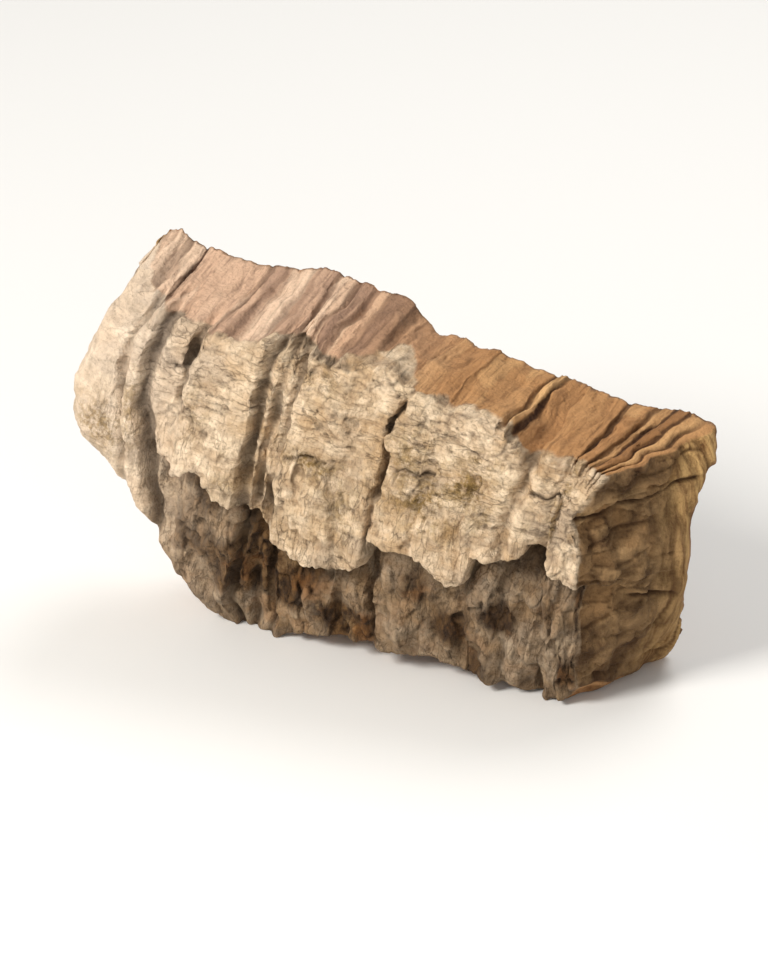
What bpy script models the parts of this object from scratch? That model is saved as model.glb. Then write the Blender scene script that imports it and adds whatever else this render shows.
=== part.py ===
"""A slab of virgin cork bark, broken on all four edges. It rests on its long lower edge, its bark in front.

The slab has its own frame, in millimetres: u runs along it from the left end, v runs up across its width
from the top edge down, so it is negative on the slab, and n points out of the bark, towards -Y. Upright cracks
divide the bark into plates, and a ledge crosses it where the outer layer has fallen away below.
"""

import math

import bmesh
import bpy
import numpy as np

MM = 0.001
NAME = "cork_bark_slab"

# Driving dimensions, in millimetres
LENGTH = 146.0
CROWN_OUT = 32.0
CROWN_V = -32.0
TOP_FALL = 10.5
FOOT_FALL = 8.0
HOLLOW_IN = 2.0
HOLLOW_RISE = 12.0
LEAN = math.radians(9.6)

# Heights of the knots that the cracks and the ends run through
KNOT_V = (0.0, -12.0, -24.0, -36.0, -75.0)

# Upright cracks: (place, (u at each knot height), half width, depth, highest v, lowest v)
CRACKS = (
    (11.5, (11.0, 10.4, 14.8, 17.0, 20.0), 2.8, 3.6, 9.0, -90.0),
    (18.5, (16.4, 17.7, 18.2, 22.8, 26.0), 3.0, 4.8, 9.0, -90.0),
    (25.5, (25.6, 24.1, 26.8, 29.5, 32.0), 2.2, 3.4, 9.0, -26.0),
    (44.5, (44.5, 44.2, 45.2, 46.5, 46.0), 2.7, 4.2, 9.0, -90.0),
    (51.0, (51.0, 51.2, 50.4, 51.6, 54.0), 2.4, 3.6, 9.0, -90.0),
    (61.0, (60.0, 61.5, 60.5, 62.0, 64.0), 1.9, 1.3, -18.0, -90.0),
    (70.0, (70.5, 69.0, 70.0, 71.0, 72.0), 1.9, 1.4, -9.0, -90.0),
    (79.0, (81.0, 77.7, 79.0, 79.4, 82.0), 1.3, 3.4, -2.0, -90.0),
    (90.5, (90.6, 90.2, 91.0, 91.0, 93.0), 1.9, 1.2, -7.0, -90.0),
    (101.0, (103.5, 101.0, 100.5, 101.5, 104.0), 2.0, 1.4, -12.0, -90.0),
    (111.5, (111.5, 112.0, 111.0, 113.0, 116.0), 2.6, 2.8, 9.0, -90.0),
    (121.5, (121.0, 120.0, 120.5, 123.0, 127.0), 2.0, 1.4, 9.0, -90.0),
)

# How far the plate before each crack, and the last plate, stands above or below the crown
PLATE_LEVELS = (0.4, -0.6, -1.9, 0.9, -2.4, 0.2, 0.6, -0.2, 0.4, 0.1, 0.5, -0.9, -1.4)

# Outlines as (place along the slab, height) or (height, place along the slab)
TOP_BACK = (
    (0.0, -1.0), (4.0, 0.5), (12.7, -1.8), (25.0, -1.6), (38.0, 3.6), (65.0, 4.4), (70.0, -0.4),
    (73.0, -2.6), (79.0, -0.4), (83.0, -1.8), (89.5, 0.2), (97.5, -2.7), (105.7, -0.8), (123.0, -2.3),
    (140.0, 0.9), (146.0, -1.6),
)
TOP_FRONT = (
    (0.0, -4.0), (16.0, -4.0), (38.0, -2.0), (43.5, 0.8), (53.0, 0.6), (59.4, -1.4), (72.0, 2.0),
    (79.4, -1.3), (103.0, -0.4), (110.0, -6.0), (116.0, -3.6), (131.0, -4.3), (146.0, -5.0),
)
LEDGE = (
    (0.0, -32.0), (20.0, -34.0), (27.0, -36.5), (31.0, -33.0), (34.0, -34.0), (38.0, -38.5),
    (43.0, -40.5), (49.0, -41.0), (54.0, -47.0), (60.0, -49.5), (72.0, -47.0), (78.0, -43.5),
    (80.0, -36.0), (94.0, -36.5), (98.0, -41.0), (102.0, -40.0), (105.0, -31.0), (112.0, -30.0),
    (118.0, -26.5), (124.0, -26.5), (132.0, -30.0), (146.0, -31.0),
)
FOOT = (
    (0.0, -44.5), (8.0, -47.0), (16.0, -55.0), (26.0, -68.0), (34.0, -78.5), (40.0, -81.6),
    (52.0, -79.4), (60.0, -74.0), (76.0, -69.5), (96.0, -67.0), (114.0, -66.0), (124.0, -67.7),
    (138.0, -65.3), (146.0, -61.0),
)
LEFT_END = ((4.0, 4.0), (-10.0, 1.4), (-24.0, 0.4), (-34.0, 0.0), (-46.0, 3.5))
RIGHT_FRONT = (
    (2.0, 131.5), (-5.0, 130.0), (-9.0, 127.7), (-14.5, 125.2), (-18.0, 126.2), (-23.0, 129.4),
    (-40.0, 131.0), (-68.0, 133.5),
)
RIGHT_BACK = ((2.0, 143.8), (-8.0, 146.4), (-18.0, 145.0), (-34.0, 147.2), (-50.0, 147.4), (-66.0, 143.5))

# The slab stands where its lower edge meets this line, given at one place and rising with the lean
FLOOR_PLACE = 45.0
FLOOR_V = -80.0

# Grooves that run back across the broken top face: (place, half width, depth)
TOP_GROOVES = (
    (7.5, 1.4, 1.0), (13.5, 1.3, 1.1), (28.0, 1.1, 1.2), (32.5, 2.4, 1.0), (40.0, 2.4, 1.2),
    (46.5, 1.2, 1.5), (51.5, 1.2, 1.5), (57.0, 1.5, 1.4), (62.0, 1.4, 1.1), (67.5, 1.4, 1.3),
    (75.5, 1.2, 1.0), (90.0, 1.3, 0.7), (101.5, 1.1, 1.6), (105.0, 1.1, 1.4), (123.5, 1.2, 1.7),
    (130.5, 1.2, 1.4), (135.0, 1.2, 1.6), (139.5, 1.0, 1.2), (143.0, 0.9, 1.2),
)

# How far each strip of the top face, from the left end on, lies below it
STRIP_LEVELS = (
    0.0, 0.5, 0.1, -0.3, 0.7, -0.4, 0.5, -0.2, 0.4, -0.5, 0.3, -0.4, 0.2, -0.2, 0.6, -0.3, 0.4, -0.2,
    0.3, 0.0,
)

# Swellings of the bark face, and hollows where pieces have fallen out:
# (place, height v, reach along, reach up, rise)
SWELLINGS = (
    (5.5, -14.0, 3.6, 15.0, 1.8), (15.0, -12.0, 2.6, 13.0, 0.9), (36.0, -30.0, 8.0, 8.0, 1.9),
    (60.0, -33.0, 7.0, 8.0, 1.2), (97.5, -4.0, 6.0, 3.4, 1.1), (92.0, -27.0, 8.0, 7.0, 0.9),
    (45.0, -66.0, 7.0, 12.0, 1.6), (86.0, -60.0, 6.0, 9.0, 1.3), (49.5, -1.0, 5.0, 3.0, -3.4),
    (60.5, -3.0, 4.2, 2.4, -2.2), (111.5, -3.5, 2.8, 4.4, -3.2), (120.5, -28.5, 3.4, 4.6, -5.0),
    (69.0, -54.0, 6.5, 7.0, -2.6), (102.0, -51.0, 8.0, 6.0, -2.2), (22.0, -50.0, 5.0, 8.0, -1.5),
)


# Steps across a plate, below which the bark stands out further:
# (first place, last place, v at the first, v at the last, rise)
CROSS_STEPS = (
    (53.0, 69.0, -24.5, -20.5, 1.2), (81.0, 93.0, -17.0, -15.0, 0.6), (113.0, 126.0, -12.5, -11.0, 0.7),
)

# Growth layers that stand out of the right end: (share of the thickness, half width, rise along the slab)
END_LAYERS = ((0.12, 0.11, 1.0), (0.45, 0.12, 1.1), (0.72, 0.1, 1.2))

# Rounding of the bark face's top and lower corners, at the left end and along the rest, and where it changes
NOSE_ROUND = 19.0
EDGE_ROUND = 1.4
NOSE_END = 24.0
RIM_ROUND = 6.5

LEDGE_DEPTH = 7.5
LEDGE_HEAL = 13.0
LOWER_LEVEL = 3.0

COLUMNS = 106
ROWS = 18
LEDGE_ROW = 8
LAYERS = 7

BARK_COLOUR = (0.40, 0.29, 0.18, 1.0)
BARK_ROUGHNESS = 0.9


def lattice(x, y, z, seed):
    """A repeatable number from -1 to 1 for each point of a whole-number lattice."""
    mask = 0xFFFFFFFF
    h = (x * 374761393 + y * 668265263 + z * 1440662683 + seed * 974711) & mask
    h = ((h ^ (h >> 13)) * 1274126177) & mask
    h = ((h ^ (h >> 15)) * 2246822519) & mask
    return ((h ^ (h >> 16)) & 0xFFFF) / 32767.5 - 1.0


def noise(x, y, z, seed):
    """Smooth noise from -1 to 1, whose lumps are one unit across."""
    cells = [np.floor(w).astype(np.int64) for w in (x, y, z)]
    parts = [w - c for w, c in zip((x, y, z), cells)]
    fades = [p * p * (3.0 - 2.0 * p) for p in parts]
    total = np.zeros_like(parts[0])
    for corner in range(8):
        steps = [(corner >> axis) & 1 for axis in range(3)]
        weight = np.ones_like(total)
        for fade, step in zip(fades, steps):
            weight = weight * (fade if step else 1.0 - fade)
        total += weight * lattice(*(c + s for c, s in zip(cells, steps)), seed)
    return total


def smooth_step(t):
    t = np.clip(t, 0.0, 1.0)
    return t * t * (3.0 - 2.0 * t)


def line(points, at):
    """The height of an outline of (place, height) points, at each place, whichever way its points run."""
    places, heights = np.array(sorted(points)).T
    return np.interp(at, places, heights)


def column_places(a):
    """Spreads the columns along the slab, with more of them beside each crack."""
    fine = np.linspace(0.0, LENGTH, 3000)
    density = np.full_like(fine, 1.0)
    for place, _, half_width, _, _, _ in CRACKS:
        density += 1.6 * np.exp(-(((fine - place) / (1.3 * half_width)) ** 2))
    for place, half_width, _ in TOP_GROOVES:
        density += 0.6 * np.exp(-(((fine - place) / (1.3 * half_width)) ** 2))
    share = np.concatenate([[0.0], np.cumsum(density[1:] + density[:-1])])
    return np.interp(a, share / share[-1], fine)


def across(place, b, depth_share):
    """The height v of each point: rows run from the foot to the ledge and on to the top edge."""
    top = line(TOP_BACK, place) * (1.0 - depth_share) + line(TOP_FRONT, place) * depth_share
    ledge = line(LEDGE, place) * depth_share + line(LEDGE, place).mean() * (1.0 - depth_share)
    foot = line(FOOT, place)
    split = LEDGE_ROW / ROWS
    low = np.clip(b / split, 0.0, 1.0)
    high = np.clip((b - split) / (1.0 - split), 0.0, 1.0)
    low = 1.0 - (1.0 - low) ** 1.5
    high = 1.0 - (1.0 - high) ** 1.2
    return np.where(b < split, foot + (ledge - foot) * low, ledge + (top - ledge) * high)


def along(place, v, depth_share):
    """The place u of each point: a column keeps its place between the same two cracks from top to foot."""
    right = line(RIGHT_BACK, v) * (1.0 - depth_share) + line(RIGHT_FRONT, v) * depth_share
    left = line(LEFT_END, v)
    places = [0.0] + [crack[0] for crack in CRACKS] + [LENGTH]
    knots = np.array(KNOT_V[::-1])
    routes = [left]
    for place_of, at_knots, _, _, _, _ in CRACKS:
        wander = 0.8 * noise(v / 9.0, v * 0.0, v * 0.0 + place_of, 3)
        routes.append(np.interp(v, knots, np.array(at_knots[::-1])) + wander)
    squeeze = (right - places[-2]) / (LENGTH - places[-2])
    routes[-1] = places[-2] + (routes[-1] - places[-2]) * np.clip(squeeze, 0.3, 1.0)
    routes.append(right)
    u = np.zeros_like(place)
    for i in range(len(places) - 1):
        inside = (place >= places[i]) & (place <= places[i + 1])
        t = (place - places[i]) / (places[i + 1] - places[i])
        u = np.where(inside, routes[i] + (routes[i + 1] - routes[i]) * t, u)
    return u


def crack_depth(place, v):
    """How deep the upright cracks cut at each point of the bark face."""
    depth = np.zeros_like(place)
    for centre, _, half_width, full, highest, lowest in CRACKS:
        t = np.clip(np.abs(place - centre) / half_width, 0.0, 1.0)
        fade = smooth_step((highest - v) / 3.0) * smooth_step((v - lowest) / 3.0)
        vary = 0.8 + 0.35 * noise(v / 7.0, v * 0.0 + centre, v * 0.0, 5)
        depth = np.maximum(depth, full * vary * fade * (1.0 - smooth_step(t)))
    return depth


def plate_level(place):
    """The height of each plate of bark, stepping from one to the next inside the crack between them."""
    level = np.full_like(place, PLATE_LEVELS[0])
    for i, (centre, _, half_width, _, _, _) in enumerate(CRACKS):
        t = smooth_step((place - centre + half_width) / (2.0 * half_width))
        level += (PLATE_LEVELS[i + 1] - PLATE_LEVELS[i]) * t
    return level


def corner_fall(distance, radius):
    """How far a rounded corner of this radius falls back at a distance from its edge."""
    reach = np.clip(radius - distance, 0.0, radius)
    return radius - np.sqrt(np.maximum(radius**2 - reach**2, 0.0))


def bark_face(place, v, top, ledge, foot):
    """The bark face: n of each point."""
    crown = np.where(
        v > CROWN_V,
        CROWN_OUT - TOP_FALL * ((v - CROWN_V) / -CROWN_V) ** 2,
        CROWN_OUT - FOOT_FALL * ((v - CROWN_V) / 40.0) ** 2,
    )
    below = ledge - v
    missing = np.where(
        below > 0.0,
        LOWER_LEVEL + (LEDGE_DEPTH - LOWER_LEVEL) * (1.0 - smooth_step(below / LEDGE_HEAL)),
        0.0,
    )
    beyond_nose = smooth_step((place - 14.0) / 16.0)
    missing = missing * smooth_step(below / 1.2) * beyond_nose
    lumps = 1.2 * noise(place / 11.0, v / 13.0, v * 0.0, 11)
    lumps += 0.7 * noise(place / 4.5, v / 6.0, v * 0.0, 12)
    broken = beyond_nose * smooth_step(below / 1.2)
    lumps += 1.5 * broken * noise(place / 5.5, v / 9.0, v * 0.0, 13)
    lumps += 0.8 * broken * noise(place / 3.0, v / 5.0, v * 0.0, 14)
    radius = EDGE_ROUND + (NOSE_ROUND - EDGE_ROUND) * (1.0 - smooth_step(place / NOSE_END))
    fall = corner_fall(top - v, radius) + corner_fall(v - foot, radius) + corner_fall(place, RIM_ROUND)
    height = crown - missing + plate_level(place) + swellings(place, v) + cross_rise(place, v)
    return height - crack_depth(place, v) + lumps - fall


def swellings(place, v):
    rise = np.zeros_like(place)
    for centre, height, reach_along, reach_up, full in SWELLINGS:
        rise += full * np.exp(-(((place - centre) / reach_along) ** 2) - ((v - height) / reach_up) ** 2)
    return rise


def cross_rise(place, v):
    """How far the bark stands out below the steps that cross its plates."""
    rise = np.zeros_like(place)
    for first, last, v_first, v_last, full in CROSS_STEPS:
        at = v_first + (v_last - v_first) * (place - first) / (last - first)
        inside = smooth_step((place - first) / 1.5) * smooth_step((last - place) / 1.5)
        below = at - v
        rise += full * inside * smooth_step(below / 1.2) * (1.0 - smooth_step((below - 4.0) / 12.0))
    return rise


def inner_face(place, v, share_up):
    """The smooth face that lay against the trunk, hollow across the slab."""
    hollow = HOLLOW_IN - HOLLOW_RISE * (2.0 * share_up - 1.0) ** 2
    waves = 0.7 * noise(place / 34.0, v / 9.0, v * 0.0, 21)
    return hollow + waves + 0.5 * noise(place / 12.0, v / 5.0, v * 0.0, 22)


def top_grooves(place, depth_share):
    """How deep the broken top face lies: grooves that run back across it, and the strips between them."""
    depth = np.zeros_like(place)
    for centre, half_width, full in TOP_GROOVES:
        t = np.clip(np.abs(place - centre) / half_width, 0.0, 1.0)
        depth = np.maximum(depth, full * (1.0 - t * t))
    depth *= 0.3 + 0.7 * smooth_step(depth_share / 0.4)
    depth *= 0.8 + 0.4 * noise(place / 3.0, depth_share * 3.0, 0.0 * place, 41)
    for i, (centre, half_width, _) in enumerate(TOP_GROOVES):
        t = smooth_step((place - centre + half_width) / (2.0 * half_width))
        depth = depth + (STRIP_LEVELS[i + 1] - STRIP_LEVELS[i]) * t
    for centre, _, half_width, full, highest, _ in CRACKS:
        if highest > 0.0:
            t = np.clip(np.abs(place - centre) / half_width, 0.0, 1.0)
            depth = np.maximum(depth, 0.5 * depth_share**3 * full * (1.0 - t * t))
    return depth


def slab_points(cube):
    """Maps points of the unit cube to the slab frame, in millimetres, as u, v and n."""
    a, b, c = cube.T
    place = column_places(a)
    v = across(place, b, c)
    top = across(place, np.ones_like(b), c)
    foot = across(place, np.zeros_like(b), c)
    ledge = across(place, np.full_like(b, LEDGE_ROW / ROWS), np.ones_like(c))
    share_up = (v - foot) / (top - foot)
    outer = bark_face(place, v, top, ledge, foot)
    inner = inner_face(place, v, share_up)
    n = inner + (outer - inner) * c
    near_top = smooth_step((share_up - 0.9) / 0.1)
    v = v - near_top * top_grooves(place, c)
    u = along(place, v, c)
    for share, half_width, rise in END_LAYERS:
        t = np.clip(np.abs(c - share) / half_width, 0.0, 1.0)
        u = u + rise * (1.0 - t * t) * smooth_step((a - 0.93) / 0.07)
    rough = [
        0.9 * noise(u / 9.0, v / 9.0, n / 9.0, seed) + 0.5 * noise(u / 4.0, v / 4.0, n / 4.0, seed + 10)
        for seed in (31, 32, 33)
    ]
    return np.column_stack([u + rough[0], v + rough[1], n + 0.5 * rough[2]])


def world_points(slab):
    """Stands the slab on its lower edge: metres, +X along it, +Z up, the bark face towards -Y."""
    u, v, n = slab.T
    x = u * math.cos(LEAN) + v * math.sin(LEAN)
    z = v * math.cos(LEAN) - u * math.sin(LEAN)
    floor = FLOOR_V * math.cos(LEAN) - FLOOR_PLACE * math.sin(LEAN)
    z = np.maximum(z - floor, 0.0)
    return np.column_stack([x, -n, z]) * MM


def gridded_cube(counts):
    """A cube from 0 to 1, cut into a grid with this many steps along X, Y and Z."""
    bm = bmesh.new()
    bmesh.ops.create_cube(bm, size=1.0)
    bmesh.ops.translate(bm, verts=bm.verts, vec=(0.5, 0.5, 0.5))
    for axis, count in enumerate(counts):
        across_axis = [
            edge
            for edge in bm.edges
            if abs(edge.verts[0].co[axis] - edge.verts[1].co[axis]) > 0.5
        ]
        bmesh.ops.subdivide_edges(bm, edges=across_axis, cuts=count - 1, use_grid_fill=True)
    return bm


def build_slab():
    """The slab as one closed mesh, its underside flat where it touches the floor."""
    bm = gridded_cube((COLUMNS, ROWS, LAYERS))
    bm.verts.ensure_lookup_table()
    points = world_points(slab_points(np.array([vert.co for vert in bm.verts])))
    middle = (points.max(axis=0) + points.min(axis=0)) / 2.0
    points[:, :2] -= middle[:2]
    for vert, point in zip(bm.verts, points):
        vert.co = point
    bmesh.ops.triangulate(bm, faces=bm.faces, quad_method="BEAUTY")
    bmesh.ops.recalc_face_normals(bm, faces=bm.faces)
    mesh = bpy.data.meshes.new(NAME)
    bm.to_mesh(mesh)
    bm.free()
    return mesh


def bark_material():
    material = bpy.data.materials.new("cork_bark")
    material.use_nodes = True
    shader = material.node_tree.nodes["Principled BSDF"]
    shader.inputs["Base Color"].default_value = BARK_COLOUR
    shader.inputs["Roughness"].default_value = BARK_ROUGHNESS
    shader.inputs["Metallic"].default_value = 0.0
    return material


def main():
    for obj in list(bpy.data.objects):
        bpy.data.objects.remove(obj, do_unlink=True)
    collection = bpy.data.collections.new("cork_bark_slab_parts")
    bpy.context.scene.collection.children.link(collection)
    slab = bpy.data.objects.new(NAME, build_slab())
    slab.data.materials.append(bark_material())
    collection.objects.link(slab)


main()
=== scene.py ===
"""A slab of virgin cork bark on a pale floor: its cracked bark face, broken edges and smooth inner face.

The slab has its own frame, in millimetres: u runs along it from the left end, v runs up across its width
and is 0 at the top edge, so it is negative on the slab, and n points out of the bark, towards -Y.
A place is a column of the slab: it stays between the same two cracks from the top edge to the foot."""

import math

import bmesh
import bpy
import numpy as np
from mathutils import Matrix, Vector


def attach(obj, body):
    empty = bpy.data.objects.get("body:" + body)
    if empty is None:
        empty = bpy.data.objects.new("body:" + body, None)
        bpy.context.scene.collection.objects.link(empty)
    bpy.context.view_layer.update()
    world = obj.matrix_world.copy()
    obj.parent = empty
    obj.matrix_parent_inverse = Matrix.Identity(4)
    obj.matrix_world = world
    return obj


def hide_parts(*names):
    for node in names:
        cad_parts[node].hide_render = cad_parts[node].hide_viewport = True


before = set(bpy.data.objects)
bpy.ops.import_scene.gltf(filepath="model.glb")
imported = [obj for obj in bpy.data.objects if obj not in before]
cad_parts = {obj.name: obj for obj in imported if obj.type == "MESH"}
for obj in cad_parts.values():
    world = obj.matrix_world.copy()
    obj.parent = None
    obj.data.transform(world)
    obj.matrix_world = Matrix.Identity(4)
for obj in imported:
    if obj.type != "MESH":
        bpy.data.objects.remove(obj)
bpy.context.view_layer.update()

MM = 0.001

# The slab's own sizes, in millimetres
LENGTH = 146.0
CROWN_OUT = 32.0
CROWN_V = -32.0
TOP_FALL = 10.5
FOOT_FALL = 8.0
HOLLOW_IN = 2.0
HOLLOW_RISE = 12.0
LEAN = math.radians(9.6)
KNOT_V = (0.0, -12.0, -24.0, -36.0, -75.0)

# Upright cracks: (place, (u at each knot height), half width, depth, highest v, lowest v)
CRACKS = (
    (11.5, (12.8, 12.4, 14.6, 17.0, 20.0), 1.6, 2.7, 9.0, -90.0),
    (18.5, (17.2, 17.7, 18.2, 22.8, 26.0), 2.5, 4.8, 9.0, -90.0),
    (25.5, (28.0, 26.4, 27.6, 29.5, 32.0), 1.5, 4.0, 9.0, -24.0),
    (44.5, (45.6, 46.4, 46.4, 46.8, 46.0), 1.8, 3.7, 9.0, -90.0),
    (48.0, (48.8, 49.8, 49.9, 50.4, 50.4), 1.3, 2.7, 9.0, -90.0),
    (51.5, (52.4, 53.6, 53.6, 54.4, 55.2), 1.8, 3.7, 9.0, -90.0),
    (61.0, (60.0, 61.5, 60.5, 62.0, 64.0), 1.9, 1.3, -18.0, -90.0),
    (70.0, (70.5, 69.0, 70.0, 71.0, 72.0), 1.9, 1.4, -9.0, -90.0),
    (79.0, (81.0, 77.7, 79.0, 79.4, 82.0), 1.3, 3.4, -2.0, -90.0),
    (90.5, (90.6, 90.2, 91.0, 91.0, 93.0), 1.9, 1.2, -7.0, -90.0),
    (101.0, (103.5, 101.0, 100.5, 101.5, 104.0), 2.0, 1.4, -12.0, -90.0),
    (111.5, (111.5, 112.0, 111.0, 113.0, 116.0), 2.6, 2.8, 9.0, -90.0),
    (121.5, (121.0, 120.0, 120.5, 123.0, 127.0), 2.0, 1.4, 9.0, -90.0),
)

# How far the plate before each crack, and the last plate, stands above or below the crown
PLATE_LEVELS = (0.4, -0.5, -1.6, 0.9, -1.7, -2.4, 0.2, 0.6, -0.2, 0.4, 0.1, 0.5, -0.9, -1.4)

# Outlines as (place along the slab, height) or (height, place along the slab)
TOP_BACK = (
    (0.0, -1.0), (4.0, 0.5), (12.7, -1.8), (25.0, -1.6), (38.0, 3.6), (65.0, 4.4), (70.0, -0.4),
    (73.0, -2.6), (79.0, -0.4), (83.0, -1.8), (89.5, 0.2), (97.5, -2.7), (105.7, -0.8), (123.0, -2.3),
    (140.0, 0.9), (146.0, -1.6),
)
TOP_FRONT = (
    (0.0, -4.0), (16.0, -4.0), (38.0, -2.0), (43.5, 0.8), (53.0, 0.6), (59.4, -1.4), (72.0, 2.0),
    (79.4, -1.3), (103.0, -0.4), (110.0, -6.0), (116.0, -3.6), (131.0, -4.3), (146.0, -5.0),
)
LEDGE = (
    (0.0, -32.0), (20.0, -34.0), (27.0, -36.5), (31.0, -33.0), (34.0, -34.0), (38.0, -38.5),
    (43.0, -40.5), (49.0, -41.0), (54.0, -47.0), (60.0, -49.5), (72.0, -47.0), (78.0, -43.5),
    (80.0, -36.0), (94.0, -36.5), (98.0, -41.0), (102.0, -40.0), (105.0, -31.0), (112.0, -30.0),
    (118.0, -26.5), (124.0, -26.5), (132.0, -30.0), (146.0, -31.0),
)
FOOT = (
    (0.0, -44.5), (8.0, -47.0), (16.0, -55.0), (26.0, -68.0), (34.0, -78.5), (40.0, -81.6),
    (52.0, -79.4), (60.0, -74.0), (76.0, -69.5), (96.0, -67.0), (114.0, -66.0), (124.0, -67.7),
    (138.0, -65.3), (146.0, -61.0),
)
LEFT_END = ((4.0, 4.0), (-10.0, 1.4), (-24.0, 0.4), (-34.0, 0.0), (-46.0, 3.5))
RIGHT_FRONT = (
    (2.0, 131.5), (-5.0, 130.0), (-9.0, 127.7), (-14.5, 125.2), (-18.0, 126.2), (-23.0, 129.4),
    (-40.0, 131.0), (-68.0, 133.5),
)
RIGHT_BACK = ((2.0, 143.8), (-8.0, 146.4), (-18.0, 145.0), (-34.0, 147.2), (-50.0, 147.4), (-66.0, 143.5))
FLOOR_PLACE = 45.0
FLOOR_V = -80.0

# Grooves that run back across the broken top face: (place, half width, depth)
TOP_GROOVES = (
    (7.8, 1.9, 1.2), (13.0, 1.1, 1.6), (28.0, 1.1, 1.2), (32.5, 2.4, 1.0), (40.0, 2.4, 1.2),
    (46.5, 1.2, 1.5), (51.5, 1.2, 1.5), (57.0, 1.5, 1.4), (62.0, 1.4, 1.1), (67.5, 1.4, 1.3),
    (75.5, 1.2, 1.0), (90.0, 1.3, 0.7), (101.5, 1.1, 1.6), (105.0, 1.1, 1.4), (123.5, 1.2, 1.7),
    (130.5, 1.2, 1.4), (135.0, 1.2, 1.6), (139.5, 1.0, 1.2), (143.0, 0.9, 1.2),
)

# The oval knot near the top edge: (place, height v, reach along, reach up)
OVAL_KNOT = (98.0, -3.6, 7.0, 4.0)

# Where the bark runs back over the top edge: (place, reach along, share of the thickness left bare)
BARK_OVER_TOP = (71.5, 7.5, 0.34)

# Notches where a crumb of bark is gone, darkened with painted shade: (place, height v, reach along, reach up,
# depth)
NOTCHES = (
    (26.2, -0.5, 1.4, 1.6, 0.9), (24.9, -10.0, 0.9, 3.8, 0.9), (49.5, -1.0, 3.4, 2.0, 0.7),
    (79.0, -9.0, 1.2, 2.6, 0.9), (33.5, -24.0, 1.2, 0.9, 0.4), (62.0, -13.0, 1.3, 1.0, 0.4),
    (111.0, -4.5, 1.9, 3.2, 0.6), (119.0, -27.0, 2.2, 2.2, 1.0), (54.5, 0.1, 3.4, 1.7, 0.9),
    (58.6, -1.5, 3.0, 1.4, 0.8), (44.6, 0.2, 1.6, 1.8, 0.8), (36.5, -1.6, 2.2, 0.8, 0.5),
    (30.5, -2.6, 1.4, 0.9, 0.5), (88.0, -0.8, 2.4, 0.8, 0.5), (105.5, -2.2, 1.5, 1.6, 0.6),
    (64.0, -0.6, 1.4, 1.0, 0.5), (76.0, 1.0, 1.4, 1.0, 0.4),
)

# How far each strip of the top face, from the left end on, lies below it
STRIP_LEVELS = (
    0.0, 0.5, 0.1, -0.3, 0.7, -0.4, 0.5, -0.2, 0.4, -0.5, 0.3, -0.4, 0.2, -0.2, 0.6, -0.3, 0.4, -0.2,
    0.3, 0.0,
)

# How light each of those strips is, and how dark the groove after it
STRIP_LOOKS = (
    (0.9, 0.6), (0.85, 0.95), (0.35, 0.6), (-0.5, 0.4), (0.9, 0.5), (-0.45, 0.7), (0.85, 0.5),
    (-0.7, 0.5), (0.4, 0.5), (-0.6, 0.5), (0.1, 0.35), (0.2, 0.2), (0.45, 0.8), (1.0, 0.9), (0.1, 1.0),
    (0.35, 0.9), (0.8, 1.0), (-0.3, 1.0), (0.7, 0.9), (0.1, 0.0),
)

# Swellings of the bark face, and hollows where pieces have fallen out:
# (place, height v, reach along, reach up, rise)
SWELLINGS = (
    (5.5, -14.0, 3.6, 15.0, 1.8), (15.0, -12.0, 2.6, 13.0, 0.9), (36.0, -30.0, 8.0, 8.0, 1.9),
    (60.0, -33.0, 7.0, 8.0, 1.2), (97.5, -4.0, 6.0, 3.4, 0.6), (92.0, -27.0, 8.0, 7.0, 0.9),
    (45.0, -66.0, 7.0, 12.0, 1.6), (86.0, -60.0, 6.0, 9.0, 1.3), (49.5, -1.0, 5.0, 3.0, -3.4),
    (60.5, -3.0, 4.2, 2.4, -2.2), (111.5, -3.5, 2.8, 4.4, -3.2), (120.5, -28.5, 3.4, 4.6, -5.0),
    (69.0, -54.0, 6.5, 7.0, -2.6), (102.0, -51.0, 8.0, 6.0, -2.2), (22.0, -50.0, 5.0, 8.0, -1.5),
    (25.2, -10.5, 1.7, 2.4, -2.2),
)

# Steps across a plate, below which the bark stands out further:
# (first place, last place, v at the first, v at the last, rise)
CROSS_STEPS = (
    (53.0, 69.0, -24.5, -20.5, 1.2), (81.0, 93.0, -17.0, -15.0, 0.6), (113.0, 126.0, -12.5, -11.0, 0.7),
)
END_LAYERS = ((0.12, 0.11, 1.0), (0.45, 0.12, 1.1), (0.72, 0.1, 1.2))

# Cracks through the slanted end: (v at the inner face, v at the bark, half width, depth)
END_CRACKS = (
    (-4.0, -9.0, 0.5, 0.7), (-9.5, -16.0, 0.7, 1.3), (-15.0, -24.0, 0.6, 0.9), (-27.0, -31.0, 0.6, 0.5),
    (-38.0, -36.5, 0.7, 1.2), (-48.0, -45.0, 0.5, 0.6), (-57.0, -56.0, 0.6, 0.8),
)

NOSE_ROUND = 19.0
EDGE_ROUND = 1.4
NOSE_END = 24.0
RIM_ROUND = 6.5
LEDGE_DEPTH = 7.5
LEDGE_HEAL = 13.0
LOWER_LEVEL = 3.0
LEDGE_SHARE = 8.0 / 18.0

# How finely the shown slab is divided, and the triangles that it keeps
COLUMNS = 440
ROWS = 150
LAYERS = 44
KEPT_TRIANGLES = 190000


def lattice(x, y, z, seed):
    """A repeatable number from -1 to 1 for each point of a whole-number lattice."""
    mask = 0xFFFFFFFF
    h = (x * 374761393 + y * 668265263 + z * 1440662683 + seed * 974711) & mask
    h = ((h ^ (h >> 13)) * 1274126177) & mask
    h = ((h ^ (h >> 15)) * 2246822519) & mask
    return ((h ^ (h >> 16)) & 0xFFFF) / 32767.5 - 1.0


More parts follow.
